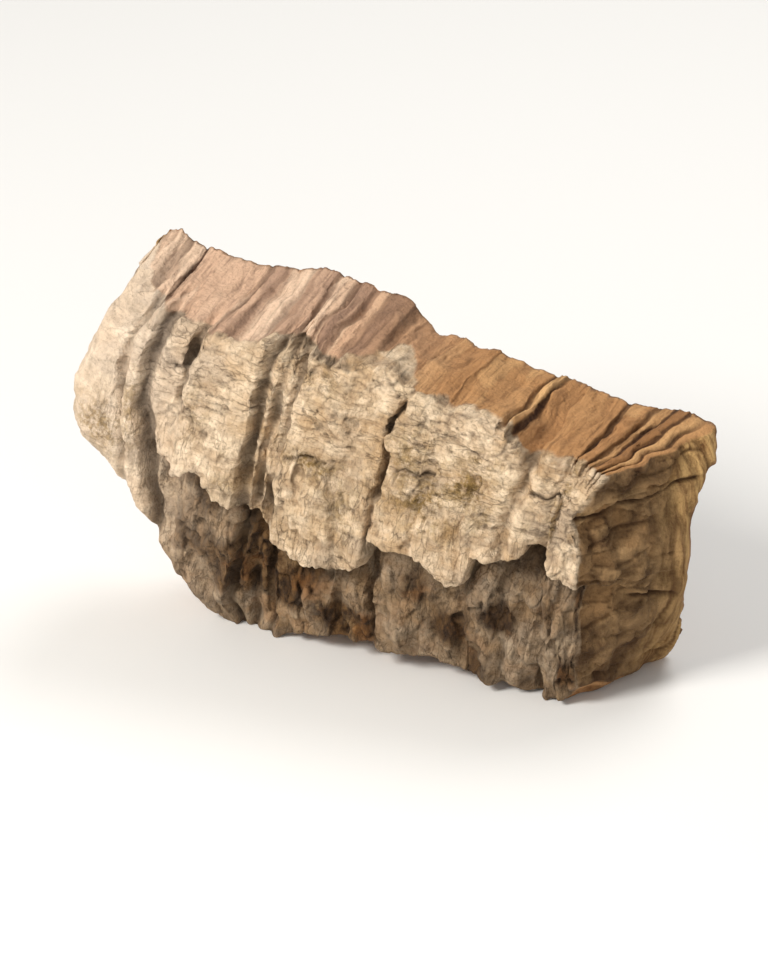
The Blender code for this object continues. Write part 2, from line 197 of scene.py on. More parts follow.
def noise(x, y, z, seed):
    """Smooth noise from -1 to 1, whose lumps are one unit across."""
    cells = [np.floor(w).astype(np.int64) for w in (x, y, z)]
    parts = [w - c for w, c in zip((x, y, z), cells)]
    fades = [p * p * (3.0 - 2.0 * p) for p in parts]
    total = np.zeros_like(parts[0])
    for corner in range(8):
        steps = [(corner >> axis) & 1 for axis in range(3)]
        weight = np.ones_like(total)
        for fade, step in zip(fades, steps):
            weight = weight * (fade if step else 1.0 - fade)
        total += weight * lattice(*(c + s for c, s in zip(cells, steps)), seed)
    return total


def flat_noise(x, y, seed):
    """Noise that runs over a plane."""
    return noise(x, y, 0.0 * x, seed)


def flakes(x, y, seed):
    """Scattered flakes one unit across: distances to the flake's middle and border, and its own number."""
    column, row = np.floor(x).astype(np.int64), np.floor(y).astype(np.int64)
    nearest = np.full(x.shape, 9.0)
    second = np.full(x.shape, 9.0)
    own = np.zeros_like(x)
    for step_x in (-1, 0, 1):
        for step_y in (-1, 0, 1):
            cx, cy = column + step_x, row + step_y
            away = np.hypot(
                x - cx - 0.5 - 0.42 * lattice(cx, cy, 0 * cx, seed),
                y - cy - 0.5 - 0.42 * lattice(cx, cy, 0 * cx + 1, seed),
            )
            nearer = away < nearest
            second = np.where(nearer, nearest, np.minimum(second, away))
            own = np.where(nearer, lattice(cx, cy, 0 * cx + 2, seed), own)
            nearest = np.minimum(nearest, away)
    return nearest, second - nearest, own


def smooth_step(t):
    t = np.clip(t, 0.0, 1.0)
    return t * t * (3.0 - 2.0 * t)


def line(points, at):
    """The height of an outline of (place, height) points, at each place, whichever way its points run."""
    places, heights = np.array(sorted(points)).T
    return np.interp(at, places, heights)


def column_places(a):
    """Spreads the columns along the slab, with more of them beside each crack."""
    fine = np.linspace(0.0, LENGTH, 3000)
    density = np.full_like(fine, 1.0)
    for place, _, half_width, _, _, _ in CRACKS:
        density += 1.6 * np.exp(-(((fine - place) / (1.3 * half_width)) ** 2))
    for place, half_width, _ in TOP_GROOVES:
        density += 0.6 * np.exp(-(((fine - place) / (1.3 * half_width)) ** 2))
    share = np.concatenate([[0.0], np.cumsum(density[1:] + density[:-1])])
    return np.interp(a, share / share[-1], fine)


def across(place, b, depth_share):
    """The height v of each point: rows run from the foot to the ledge and on to the top edge."""
    top = line(TOP_BACK, place) * (1.0 - depth_share) + line(TOP_FRONT, place) * depth_share
    ledge = line(LEDGE, place) * depth_share + line(LEDGE, place).mean() * (1.0 - depth_share)
    foot = line(FOOT, place)
    low = np.clip(b / LEDGE_SHARE, 0.0, 1.0)
    high = np.clip((b - LEDGE_SHARE) / (1.0 - LEDGE_SHARE), 0.0, 1.0)
    low = 1.0 - (1.0 - low) ** 1.5
    high = 1.0 - (1.0 - high) ** 1.2
    return np.where(b < LEDGE_SHARE, foot + (ledge - foot) * low, ledge + (top - ledge) * high)


def along(place, v, depth_share):
    """The place u of each point: a column keeps its place between the same two cracks from top to foot."""
    right = line(RIGHT_BACK, v) * (1.0 - depth_share) + line(RIGHT_FRONT, v) * depth_share
    places = [0.0] + [crack[0] for crack in CRACKS] + [LENGTH]
    knots = np.array(KNOT_V[::-1])
    routes = [line(LEFT_END, v)]
    for place_of, at_knots, _, _, _, _ in CRACKS:
        wander = 0.8 * noise(v / 9.0, v * 0.0, v * 0.0 + place_of, 3)
        routes.append(np.interp(v, knots, np.array(at_knots[::-1])) + wander)
    squeeze = (right - places[-2]) / (LENGTH - places[-2])
    routes[-1] = places[-2] + (routes[-1] - places[-2]) * np.clip(squeeze, 0.3, 1.0)
    routes.append(right)
    u = np.zeros_like(place)
    for i in range(len(places) - 1):
        inside = (place >= places[i]) & (place <= places[i + 1])
        t = (place - places[i]) / (places[i + 1] - places[i])
        u = np.where(inside, routes[i] + (routes[i + 1] - routes[i]) * t, u)
    return u


def crack_depth(place, v):
    """How deep the upright cracks cut at each point of the bark face."""
    depth = np.zeros_like(place)
    for centre, _, half_width, full, highest, lowest in CRACKS:
        t = np.clip(np.abs(place - centre) / half_width, 0.0, 1.0)
        fade = smooth_step((highest - v) / 3.0) * smooth_step((v - lowest) / 3.0)
        vary = 0.8 + 0.35 * flat_noise(v / 7.0, v * 0.0 + centre, 5)
        depth = np.maximum(depth, full * vary * fade * (1.0 - smooth_step(t)))
    return depth


def plate_level(place):
    """The height of each plate of bark, stepping from one to the next inside the crack between them."""
    level = np.full_like(place, PLATE_LEVELS[0])
    for i, (centre, _, half_width, _, _, _) in enumerate(CRACKS):
        t = smooth_step((place - centre + half_width) / (2.0 * half_width))
        level += (PLATE_LEVELS[i + 1] - PLATE_LEVELS[i]) * t
    return level


def corner_fall(distance, radius):
    """How far a rounded corner of this radius falls back at a distance from its edge."""
    reach = np.clip(radius - distance, 0.0, radius)
    return radius - np.sqrt(np.maximum(radius**2 - reach**2, 0.0))


def swellings(place, v):
    rise = np.zeros_like(place)
    for centre, height, reach_along, reach_up, full in SWELLINGS:
        rise += full * np.exp(-(((place - centre) / reach_along) ** 2) - ((v - height) / reach_up) ** 2)
    return rise


def cross_rise(place, v):
    """How far the bark stands out below the steps that cross its plates."""
    rise = np.zeros_like(place)
    for first, last, v_first, v_last, full in CROSS_STEPS:
        at = v_first + (v_last - v_first) * (place - first) / (last - first)
        inside = smooth_step((place - first) / 1.5) * smooth_step((last - place) / 1.5)
        below = at - v
        rise += full * inside * smooth_step(below / 1.2) * (1.0 - smooth_step((below - 4.0) / 12.0))
    return rise


def past_nose(place):
    return smooth_step((place - 14.0) / 16.0)


def bark_face(place, v, top, ledge, foot):
    """The bark face: n of each point."""
    crown = np.where(
        v > CROWN_V,
        CROWN_OUT - TOP_FALL * ((v - CROWN_V) / -CROWN_V) ** 2,
        CROWN_OUT - FOOT_FALL * ((v - CROWN_V) / 40.0) ** 2,
    )
    below = ledge - v
    missing = np.where(
        below > 0.0,
        LOWER_LEVEL + (LEDGE_DEPTH - LOWER_LEVEL) * (1.0 - smooth_step(below / LEDGE_HEAL)),
        0.0,
    )
    broken = past_nose(place) * smooth_step(below / 1.2)
    lumps = 1.2 * flat_noise(place / 11.0, v / 13.0, 11)
    lumps += 0.7 * flat_noise(place / 4.5, v / 6.0, 12)
    lumps += 1.5 * broken * flat_noise(place / 5.5, v / 9.0, 13)
    lumps += 0.8 * broken * flat_noise(place / 3.0, v / 5.0, 14)
    radius = EDGE_ROUND + (NOSE_ROUND - EDGE_ROUND) * (1.0 - smooth_step(place / NOSE_END))
    fall = corner_fall(top - v, radius) + corner_fall(v - foot, radius) + corner_fall(place, RIM_ROUND)
    height = crown - missing * broken + plate_level(place) + swellings(place, v) + cross_rise(place, v)
    return height - crack_depth(place, v) * (0.4 + 0.6 * smooth_step((v - foot) / 7.0)) + lumps - fall


def inner_face(place, v, share_up):
    """The smooth face that lay against the trunk, hollow across the slab."""
    hollow = HOLLOW_IN - HOLLOW_RISE * (2.0 * share_up - 1.0) ** 2
    waves = 0.7 * flat_noise(place / 34.0, v / 9.0, 21)
    return hollow + waves + 0.5 * flat_noise(place / 12.0, v / 5.0, 22)


def groove_depth(place, depth_share):
    """How deep the broken top face lies: grooves that run back across it, and the strips between them."""
    depth = np.zeros_like(place)
    for centre, half_width, full in TOP_GROOVES:
        t = np.clip(np.abs(place - centre) / half_width, 0.0, 1.0)
        depth = np.maximum(depth, full * (1.0 - t * t))
    depth *= 0.3 + 0.7 * smooth_step(depth_share / 0.4)
    depth *= 0.8 + 0.4 * flat_noise(place / 3.0, depth_share * 3.0, 41)
    for i, (centre, half_width, _) in enumerate(TOP_GROOVES):
        t = smooth_step((place - centre + half_width) / (2.0 * half_width))
        depth = depth + (STRIP_LEVELS[i + 1] - STRIP_LEVELS[i]) * t
    for centre, _, half_width, full, highest, _ in CRACKS:
        if highest > 0.0:
            t = np.clip(np.abs(place - centre) / half_width, 0.0, 1.0)
            depth = np.maximum(depth, 0.5 * depth_share**3 * full * (1.0 - t * t))
    return depth


def slab_points(a, b, c):
    """Maps points of the unit cube to the slab: its place, how far below the ledge it is, and (u, v, n)."""
    place = column_places(a)
    v = across(place, b, c)
    top = across(place, np.ones_like(b), c)
    foot = across(place, np.zeros_like(b), c)
    ledge = across(place, np.full_like(b, LEDGE_SHARE), np.ones_like(c))
    share_up = (v - foot) / (top - foot)
    outer = bark_face(place, v, top, ledge, foot)
    inner = inner_face(place, v, share_up)
    n = inner + (outer - inner) * c
    near_top = smooth_step((share_up - 0.9) / 0.1)
    v = v - near_top * groove_depth(place, c)
    u = along(place, v, c)
    for share, half_width, rise in END_LAYERS:
        t = np.clip(np.abs(c - share) / half_width, 0.0, 1.0)
        u = u + rise * (1.0 - t * t) * smooth_step((a - 0.93) / 0.07)
    rough = [
        0.9 * noise(u / 9.0, v / 9.0, n / 9.0, seed) + 0.5 * noise(u / 4.0, v / 4.0, n / 4.0, seed + 10)
        for seed in (31, 32, 33)
    ]
    return place, ledge - v, np.column_stack([u + rough[0], v + rough[1], n + 0.5 * rough[2]])


def world_points(slab):
    """Stands the slab on its lower edge: metres, +X along it, +Z up, the bark face towards -Y."""
    u, v, n = slab.T
    x = u * math.cos(LEAN) + v * math.sin(LEAN)
    z = v * math.cos(LEAN) - u * math.sin(LEAN)
    floor = FLOOR_V * math.cos(LEAN) - FLOOR_PLACE * math.sin(LEAN)
    return np.column_stack([x, -n, z - floor]) * MM


def strip_look(place):
    """The broken top face: how light each strip is, from -1 to 1, and how dark the grooves between are."""
    light = np.full_like(place, STRIP_LOOKS[0][0])
    dark = np.zeros_like(place)
    for i, (centre, half_width, _) in enumerate(TOP_GROOVES):
        light += (STRIP_LOOKS[i + 1][0] - STRIP_LOOKS[i][0]) * smooth_step((place - centre + 0.5) / 1.0)
        away = np.abs(place - centre) / half_width
        dark = np.maximum(dark, STRIP_LOOKS[i][1] * (1.0 - smooth_step((away - 0.4) / 0.5)))
    return light, dark


def step_gaps(place, v):
    """The thin gap along each step across a plate."""
    gap = np.zeros_like(place)
    for first, last, v_first, v_last, _ in CROSS_STEPS:
        at = v_first + (v_last - v_first) * (place - first) / (last - first)
        at += 0.5 * flat_noise(place / 2.5, 0.0 * v, 50)
        inside = smooth_step((place - first) / 1.5) * smooth_step((last - place) / 1.5)
        gap = np.maximum(gap, inside * (1.0 - smooth_step(np.abs(v - at - 0.3) / 0.6)))
    centre, height, reach_along, reach_up = OVAL_KNOT
    off = np.hypot((place - centre) / reach_along, (v - height) / reach_up) - 1.0
    rim = (1.0 - smooth_step(np.abs(off) / 0.12)) * smooth_step((height + 1.0 - v) / 2.0)
    return np.maximum(gap, (0.65 + 0.3 * flat_noise(place / 2.0, v / 2.0, 43)) * rim)


def notched(place, v):
    """The notches of the bark face: (depth in millimetres, painted shade inside them)."""
    depth, dark = np.zeros_like(place), np.zeros_like(place)
    for centre, height, reach_along, reach_up, full in NOTCHES:
        off = np.hypot((place - centre) / reach_along, (v - height) / reach_up)
        off += 0.35 * flat_noise(place / 1.2, v / 1.5, 46)
        inside = 1.0 - smooth_step((off - 0.5) / 0.7)
        depth = np.maximum(depth, full * inside)
        dark = np.maximum(dark, (0.4 + 0.4 * full) * inside)
    return depth, dark


def bark_relief(place, u, v):
    """Flakes, wrinkles, pits and fine cracks of the bark face: (height in millimetres, darkness that is
    painted shade in its seams, wrinkles, pits, gaps and notches, tone).
    """
    lively = 0.65 + 0.35 * smooth_step((place - 15.0) / 12.0)
    x = u + 1.2 * flat_noise(u / 5.0, v / 5.0, 51)
    y = v + 1.1 * flat_noise(u / 6.0, v / 4.0, 52)
    lower = smooth_step((-16.0 - v) / 14.0)
    _, border, tone = flakes(x / 6.5, y / (3.2 + 2.6 * lower), 53)
    seam = (1.0 - smooth_step(border / 0.12)) * smooth_step((flat_noise(u / 6.0, v / 6.0, 59) + 0.1) / 0.5)
    _, small_border, small_tone = flakes(x / 2.0, y / (1.0 + 1.6 * lower), 54)
    small_seam = 1.0 - smooth_step(small_border / 0.22)
    wrinkle = smooth_step((0.12 - np.abs(flat_noise(x / 12.0, y / 1.5, 55))) / 0.12)
    wrinkle *= smooth_step((flat_noise(u / 8.0, v / 7.0, 49) + 0.35) / 0.5) * (1.0 - 0.7 * lower)
    middle, _, number = flakes(u / 3.0, v / 3.0, 56)
    pit = smooth_step((0.12 + 0.12 * number - middle) / 0.1) * (number > 0.86)
    pit = pit * smooth_step((place - 24.0) / 8.0)
    strand = flat_noise(x / 0.9, y / 8.0, 57)
    fold = flat_noise(x / 3.4, y / 18.0, 48)
    rough = flat_noise(u / 1.1, v / 1.0, 58)
    height = 0.16 * tone - 0.3 * seam + 0.14 * small_tone - 0.12 * small_seam - 0.28 * wrinkle - 0.5 * pit
    upright = (0.1 + 0.2 * lower) * strand + (0.15 + 0.4 * lower) * fold
    height += upright + 0.34 * flat_noise(x / 2.4, y / 2.0, 60)
    height += 0.2 * rough + 0.5 * flat_noise(u / 6.0, v / 5.0, 47)
    layer = v / 2.4 + 0.9 * flat_noise(u / 9.0, v / 6.0, 42) + 0.3 * flat_noise(u / 2.5, v / 3.0, 40)
    between = smooth_step((np.abs(2.0 * (layer - np.floor(layer)) - 1.0) - 0.72) / 0.28)
    lasting = smooth_step((flat_noise(u / 7.0, v / 2.4, 39) + 0.2) / 0.4)
    between *= lasting * (1.0 - 0.8 * lower) * past_nose(place)
    gap = step_gaps(place, v)
    bands = (1.0 - lively) * flat_noise(u / 10.0 + 0.5 * flat_noise(u / 5.0, v / 5.0, 44), y / 2.4, 45)
    notch, notch_shade = notched(place, v)
    height = lively * height + 0.9 * bands - 0.3 * between - 0.8 * gap - notch
    # Painted shade in the seams, wrinkles, pits, layer gaps, step gaps and notches, and where the fine
    # roughness lies low
    dark = 0.4 * seam + 0.1 * small_seam + 0.4 * wrinkle + 0.45 * pit
    dark += 0.22 * smooth_step((-rough - 0.3) / 0.4)
    dark = np.maximum(np.clip(lively * dark + 0.3 * between, 0.0, 1.0), np.maximum(0.9 * gap, notch_shade))
    return height, dark, 0.35 * tone + 0.3 * small_tone + 0.35 * fold + 1.2 * bands


def torn_relief(u, v):
    """The torn layer below the ledge: upright blocks and strands, with painted shade in their seams and holes
    and where they lie low.
    """
    x = u + 0.9 * flat_noise(u / 4.0, v / 6.0, 61)
    y = v + 1.6 * flat_noise(u / 4.0, v / 6.0, 62)
    _, border, tone = flakes(x / 3.0, y / 6.5, 63)
    seam = 1.0 - smooth_step(border / 0.2)
    strand = flat_noise(x / 0.8, y / 6.0, 65)
    middle, _, number = flakes(x / 4.2, y / 4.6, 64)
    hole = smooth_step((0.3 + 0.15 * strand - middle) / 0.2) * (number > 0.6)
    rough = flat_noise(u / 1.0, v / 1.2, 66)
    height = 0.7 * tone - 0.6 * seam - 1.1 * hole + 0.3 * strand + 0.3 * rough
    dark = 0.45 * seam + 0.8 * hole + 0.35 * smooth_step((-rough - 0.25) / 0.4)
    return height, np.clip(dark, 0.0, 1.0), 0.6 * tone + 0.4 * strand


def break_relief(place, n, seed):
    """A face broken across the bark: fibres that run from the bark to the inner face, and crumbled spots,
    with painted shade in their seams, pores and low fibres.
    """
    x = place + 0.5 * flat_noise(place / 4.0, n / 6.0, seed)
    _, border, tone = flakes(x / 3.1, n / 24.0, seed + 1)
    seam = 1.0 - smooth_step(border / 0.16)
    fine = flat_noise(x / 0.8, n / 12.0, seed + 2)
    crumb = flat_noise(x / 0.8, n / 0.9, seed + 4)
    middle, _, number = flakes(x / 2.4, n / 2.0, seed + 3)
    pore = smooth_step((0.18 - middle) / 0.1) * (number > 0.6)
    height = 0.14 * tone - 0.14 * seam + 0.14 * fine - 0.25 * pore + 0.14 * crumb
    height += 0.3 * flat_noise(place / 5.0, n / 6.0, seed + 5)
    dark = np.clip(0.2 * seam + 0.25 * smooth_step((-fine - 0.3) / 0.3) + 0.35 * pore, 0.0, 1.0)
    return height, dark, tone


def end_relief(v, n, depth_share):
    """The slanted end: blocks, cracks through the thickness, fibres beside the inner face, a small knot, with
    painted shade in its seams, cracks and low fibres, along its top and towards its foot.
    """
    y = v + 6.5 * (depth_share - 0.5)
    _, border, tone = flakes(n / 6.0 + 0.3 * flat_noise(v / 4.0, n / 4.0, 95), y / 5.0, 96)
    _, _, block = flakes(n / 12.0 + 0.3 * flat_noise(v / 6.0, n / 6.0, 93), y / 10.0, 92)
    inward = smooth_step((0.34 - depth_share) / 0.1)
    seam = 1.0 - smooth_step(border / 0.16)
    level = (0.5 * tone + 0.5 * block) * (1.0 - inward) - 0.35 * seam * (1.0 - inward)
    dark = 0.28 * seam * (1.0 - inward)
    for v_inner, v_bark, half_width, full in END_CRACKS:
        at = v_inner + (v_bark - v_inner) * depth_share
        at += 1.3 * flat_noise(depth_share * 4.0, 0.0 * v + v_bark, 97)
        reach = half_width * (1.0 + 0.5 * flat_noise(n / 3.0, v / 3.0, 94))
        cut = 1.0 - smooth_step(np.abs(v - at) / reach)
        lasting = flat_noise(depth_share * 3.0, 0.0 * v + v_inner, 98) + 0.25 + 0.3 * full
        lasting = smooth_step(lasting / 0.4)
        lasting *= smooth_step((depth_share - 0.02) / 0.2)
        level = level - full * cut * lasting
        dark = np.maximum(dark, min(1.0, 0.75 * full) * cut * lasting)
    # Painted shade on the end: a band along its top that widens towards the bark, and darker towards its foot
    upper_shade = smooth_step((v + 6.0 + 8.0 * depth_share) / 3.0) * (1.0 - inward)
    foot = smooth_step((-34.0 - v) / 12.0)
    dark = np.maximum(dark, 0.5 * np.maximum(upper_shade, 0.7 * foot))
    fibre = flat_noise(n / 0.8, v / 9.0, 99)
    strip = flat_noise(n / 2.0, v / 14.0, 100)
    rough = flat_noise(n / 1.0, v / 1.1, 101)
    away = np.hypot((depth_share - 0.75) * 34.0, v + 18.6)
    ring = np.exp(-(((away - 2.9) / 0.45) ** 2))
    level = level + (0.12 + 0.3 * inward) * fibre + (0.2 + 0.4 * inward) * strip - 0.5 * ring
    level = level + 0.3 * smooth_step((2.6 - away) / 1.0) + 0.3 * rough * (1.0 - 0.6 * inward)
    dark = np.maximum(dark, 0.7 * ring) + (0.1 + 0.35 * inward) * smooth_step((-fibre - 0.2) / 0.3)
    dark = dark + 0.08 * smooth_step((-rough - 0.25) / 0.4) * (1.0 - 0.6 * inward)
    shown = 0.3 * strip + (0.35 * tone + 0.65 * block) * (1.0 - inward) + 0.4 * fibre * inward
    return level, np.clip(dark, 0.0, 1.0), shown


def gridded_cube(columns, rows, layers):
    """A closed cube from 0 to 1 whose sides are grids."""
    bm = bmesh.new()
    steps = (columns, rows, layers)
    for axis in range(3):
        first, second = [i for i in range(3) if i != axis]
        for side in (0.0, 1.0):
            place = Matrix.Identity(4)
            for i in range(3):
                place[i][0] = place[i][1] = place[i][2] = 0.0
            place[first][0] = place[second][1] = place[axis][2] = 1.0
            place.translation = Vector([side if i == axis else 0.5 for i in range(3)])
            bmesh.ops.create_grid(
                bm, x_segments=steps[first], y_segments=steps[second], size=0.5, matrix=place
            )
    bmesh.ops.remove_doubles(bm, verts=bm.verts, dist=1e-5)
    bmesh.ops.recalc_face_normals(bm, faces=bm.faces)
    return bm


def vertex_normals(points, faces):
    """Unit normals of a mesh of four-sided faces."""
    corners = points[faces]
    across_face = np.cross(corners[:, 2] - corners[:, 0], corners[:, 3] - corners[:, 1])
    normals = np.zeros_like(points)
    for i in range(4):
        np.add.at(normals, faces[:, i], across_face)
    return normals / np.maximum(np.linalg.norm(normals, axis=1, keepdims=True), 1e-12)


def write_attribute(mesh, name, kind, values):
    layer = mesh.attributes.new(name, kind, "POINT")
    key = "vector" if kind == "FLOAT_VECTOR" else "value"
    layer.data.foreach_set(key, np.ascontiguousarray(values, dtype=np.float32).ravel())


def make_slab(middle):
    """The slab at full detail, with masks for its material, as a mesh of KEPT_TRIANGLES triangles."""
    bm = gridded_cube(COLUMNS, ROWS, LAYERS)
    mesh = bpy.data.meshes.new("slab_fine")
    bm.to_mesh(mesh)
    bm.free()
    count = len(mesh.vertices)
    cube = np.empty(count * 3)
    mesh.vertices.foreach_get("co", cube)
    a, b, c = cube.reshape(-1, 3).T
    faces = np.empty(len(mesh.loops), dtype=np.int64)
    mesh.loops.foreach_get("vertex_index", faces)
    faces = faces.reshape(-1, 4)

    place, below, slab = slab_points(a, b, c)
    u, v, n = slab.T
    points = world_points(slab)
    normals = vertex_normals(points, faces)

    wobble = noise(place / 3.0, v / 3.0, n / 3.0, 71)
    on_front = (c > 0.999) * 1.0
    on_top = (b > 0.999) * 1.0
    on_foot = (b < 0.001) * 1.0
    on_left = (a < 0.001) * 1.0
    on_end = np.maximum((a > 0.999) * 1.0, on_left)
    on_back = (c < 0.001) * 1.0
    wrapped = smooth_step((12.5 + 6.0 * c + 1.2 * wobble - place) / 1.0) * (1.0 - on_top) * (1.0 - on_left)
    left_rim = c - 0.44 + 0.07 * flat_noise(v / 7.0, n * 0.0, 77) + 0.03 * wobble
    wrapped += smooth_step(left_rim / 0.04) * on_left
    wrapped += smooth_step((8.0 * c**2 + 2.2 * wobble - place) / 2.5) * on_top
    centre, reach_along, left_bare = BARK_OVER_TOP
    wedge = (c - left_bare) / (1.0 - left_bare) - np.abs(place - centre) / reach_along + 0.12 * wobble
    wrapped = np.maximum(wrapped, smooth_step(wedge / 0.1) * on_top)
    patchy = noise(place / 8.0, v * 0.0, n / 8.0, 75)
    reach = 0.07 * patchy + 0.04 * noise(place / 2.5, v * 0.0, n / 3.0, 76) - 0.02
    rind = smooth_step((c + 0.02 * wobble + reach * on_top - 0.945) / 0.03)
    bark = np.clip(np.maximum(on_front, np.maximum(rind, wrapped)) * (1.0 - on_back), 0.0, 1.0)
    torn = bark * past_nose(place) * smooth_step((below - 0.4) / 0.8) * np.maximum(on_front, rind)
    bare = flat_noise(place / 7.0, v / 8.0, 72) + 0.5 - below / 60.0
    torn = torn * (0.6 + 0.4 * smooth_step(bare / 0.7))

    bark_high, bark_dark, bark_tone = bark_relief(place, u, v)
    strip_light, strip_dark = strip_look(place + 0.5 * flat_noise(place / 3.0, n / 7.0, 73))
    torn_high, torn_dark, torn_tone = torn_relief(u, v)
    top_high, top_dark, top_tone = break_relief(place, n, 81)
    end_high, end_dark, end_tone = end_relief(v, n, c)
    lines = flat_noise(u / 0.8, v / 12.0, 95)

    side = np.maximum(on_top, on_foot)
    top_tone = np.where(on_top > 0.5, 0.75 * strip_light + 0.25 * top_tone, 0.7 * top_tone)

    def by_zone(bark_value, torn_value, end_value, side_value, inner_value):
        shown = bark * ((1.0 - torn) * bark_value + torn * torn_value)
        cork = np.where(on_end > 0.5, end_value, np.where(side > 0.5, side_value, inner_value))
        return shown + (1.0 - bark) * cork

    height = by_zone(bark_high, torn_high, end_high, top_high, 0.12 * lines)
    # Darkness from the relief of each zone: painted shade where it lies low, in its seams, holes and cracks
    dark = by_zone(bark_dark, torn_dark, end_dark, top_dark, 0.3 * smooth_step(-lines))
    tone = by_zone(bark_tone, torn_tone, end_tone, top_tone, lines)
    # Painted shade deep in the upright cracks of the bark
    crack_shade = smooth_step((crack_depth(place, v) - 0.5) / 2.6) * np.maximum(on_front, rind)
    # Darker grooves across the top face: partly the cork's own dark streaks, partly painted shade
    groove = strip_dark * on_top * (1.0 - bark) * (0.9 + 0.4 * flat_noise(place / 1.5, n / 9.0, 74))
    # Painted shade along the seam where the bark meets the broken cork
    split = np.exp(-(((bark - 0.45) / 0.3) ** 2)) * (on_top + on_end) * smooth_step(2.0 * wobble + 0.3)
    # Painted shade of the ledge on the torn layer just below it
    under = torn * (1.0 - smooth_step((below - 1.5) / 10.0))
    shade = np.clip(np.maximum.reduce([dark, 0.65 * crack_shade, groove, 0.6 * split, 0.65 * under]), 0.0, 1.0)

    height *= 0.3 + 0.7 * smooth_step(b / 0.035)
    points = points + normals * (height * MM)[:, None]
    points[:, 2] = np.maximum(points[:, 2], 0.0)
    points[:, :2] -= middle
    mesh.vertices.foreach_set("co", points.ravel())

    write_attribute(mesh, "grain", "FLOAT_VECTOR", np.column_stack([u, v, n]))
    masks = {
        "bark": bark, "torn": torn, "inner": on_back, "end": on_end, "shade": shade,
        "tone": 0.5 + 0.5 * tone, "stain": stained(place, v) * on_front,
    }
    for name, values in masks.items():
        write_attribute(mesh, name, "FLOAT", values)
    mesh.update()

    rough = bpy.data.objects.new("slab_fine", mesh)
    bpy.context.scene.collection.objects.link(rough)
    thin = rough.modifiers.new("thin", "DECIMATE")
    thin.ratio = KEPT_TRIANGLES / (2.0 * len(faces))
    thin.use_collapse_triangulate = True
    bpy.context.view_layer.update()
    graph = bpy.context.evaluated_depsgraph_get()
    made = bpy.data.meshes.new_from_object(
        rough.evaluated_get(graph), preserve_all_data_layers=True, depsgraph=graph
    )
    bpy.data.objects.remove(rough, do_unlink=True)
    made.name = "slab"
    made.polygons.foreach_set("use_smooth", np.ones(len(made.polygons), dtype=bool))
    slab_object = bpy.data.objects.new("slab", made)
    bpy.context.scene.collection.objects.link(slab_object)
    return slab_object


# Damp, olive-brown patches of the bark face: (place, height v, reach along, reach up, strength)
STAINS = (
    (126.5, -10.0, 3.0, 6.5, 1.0), (124.0, -18.0, 3.0, 7.0, 0.8), (91.0, -22.0, 9.0, 7.0, 1.0),
    (99.0, -16.0, 8.0, 6.0, 1.0), (85.0, -14.0, 5.0, 8.0, 0.8), (62.0, -23.0, 10.0, 3.0, 1.0),
    (72.0, -30.0, 5.0, 8.0, 0.7), (8.0, -31.0, 6.5, 7.0, 0.8), (15.0, -24.0, 3.0, 8.0, 0.7),
    (106.0, -21.0, 4.0, 4.0, 0.6), (40.0, -34.0, 5.0, 3.0, 0.5), (59.0, -5.0, 6.0, 3.0, 0.6),
    (100.0, -9.0, 5.0, 2.5, 0.7), (30.0, -20.0, 3.0, 8.0, 0.5),
)


def stained(place, v):
    cover = np.zeros_like(place)
    for centre, height, reach_along, reach_up, strength in STAINS:
        near = np.exp(-(((place - centre) / reach_along) ** 2) - ((v - height) / reach_up) ** 2)
        cover = np.maximum(cover, strength * near)
    return cover


# Colours as a paint chart gives them, from 0 to 255
BARK_LIGHT = (236, 211, 178)
BARK_PINK = (238, 218, 196)
BARK_MID = (194, 164, 130)
BARK_WARM = (190, 154, 110)
BARK_GREY = (170, 148, 124)
BARK_DARK = (104, 78, 50)
# Painted shade in the bark's cracks, seams and hollows
CREVICE_SHADE = (50, 35, 22)
SALMON = (208, 170, 140)
SALMON_LIGHT = (228, 196, 166)
SALMON_DARK = (158, 126, 104)
TAN_CORK = (176, 128, 82)
TAN_LIGHT = (214, 168, 114)
TAN_DARK = (104, 66, 32)
# Dark brown of the cork's streaks and pores, also its painted shade
STREAK_AND_SHADE = (58, 32, 13)
# Browns of the torn layer, partly darkened with painted shade
TORN_LIGHT = (118, 86, 50)
TORN_DARK = (54, 37, 22)
TORN_ORANGE = (132, 88, 46)
END_YELLOW = (206, 166, 108)
END_BROWN = (174, 139, 96)
END_DARK = (84, 61, 36)
STAIN_LIGHT = (152, 122, 70)
STAIN_DARK = (96, 74, 40)
INNER_TAN = (176, 130, 94)
INNER_BROWN = (120, 82, 58)
INNER_PALE = (198, 160, 122)
FLOOR_PALE = (226, 224, 220)

FLOOR_REACH = 3.0
DULL = 0.9
CORK_GLOSS = 0.25
BUMP_DEPTH = 0.0007


def paint(colour):
    """A chart colour as the shaders take it."""
    parts = [part / 255.0 for part in colour]
    return (*(part / 12.92 if part < 0.04045 else ((part + 0.055) / 1.055) ** 2.4 for part in parts), 1.0)


def add(tree, kind, inputs=None, **settings):
    """A node with its settings made and its inputs linked or filled."""
    node = tree.nodes.new(kind)
    for name, value in settings.items():
        setattr(node, name, value)
    for key, value in (inputs or {}).items():
        if isinstance(value, bpy.types.NodeSocket):
            tree.links.new(value, node.inputs[key])
        else:
            node.inputs[key].default_value = value
    return node


def mixed(tree, share, first, second, way="MIX"):
    node = add(tree, "ShaderNodeMix", {0: share, 6: first, 7: second}, data_type="RGBA", blend_type=way)
    return node.outputs[2]


def sums(tree, way, first, second=0.0, clamp=False):
    return add(tree, "ShaderNodeMath", {0: first, 1: second}, operation=way, use_clamp=clamp).outputs[0]


def span(tree, value, low, high):
    """0 where the value is at low, 1 where it is at high, smoothly between."""
    inputs = {"Value": value, "From Min": low, "From Max": high}
    return add(tree, "ShaderNodeMapRange", inputs, interpolation_type="SMOOTHSTEP").outputs[0]


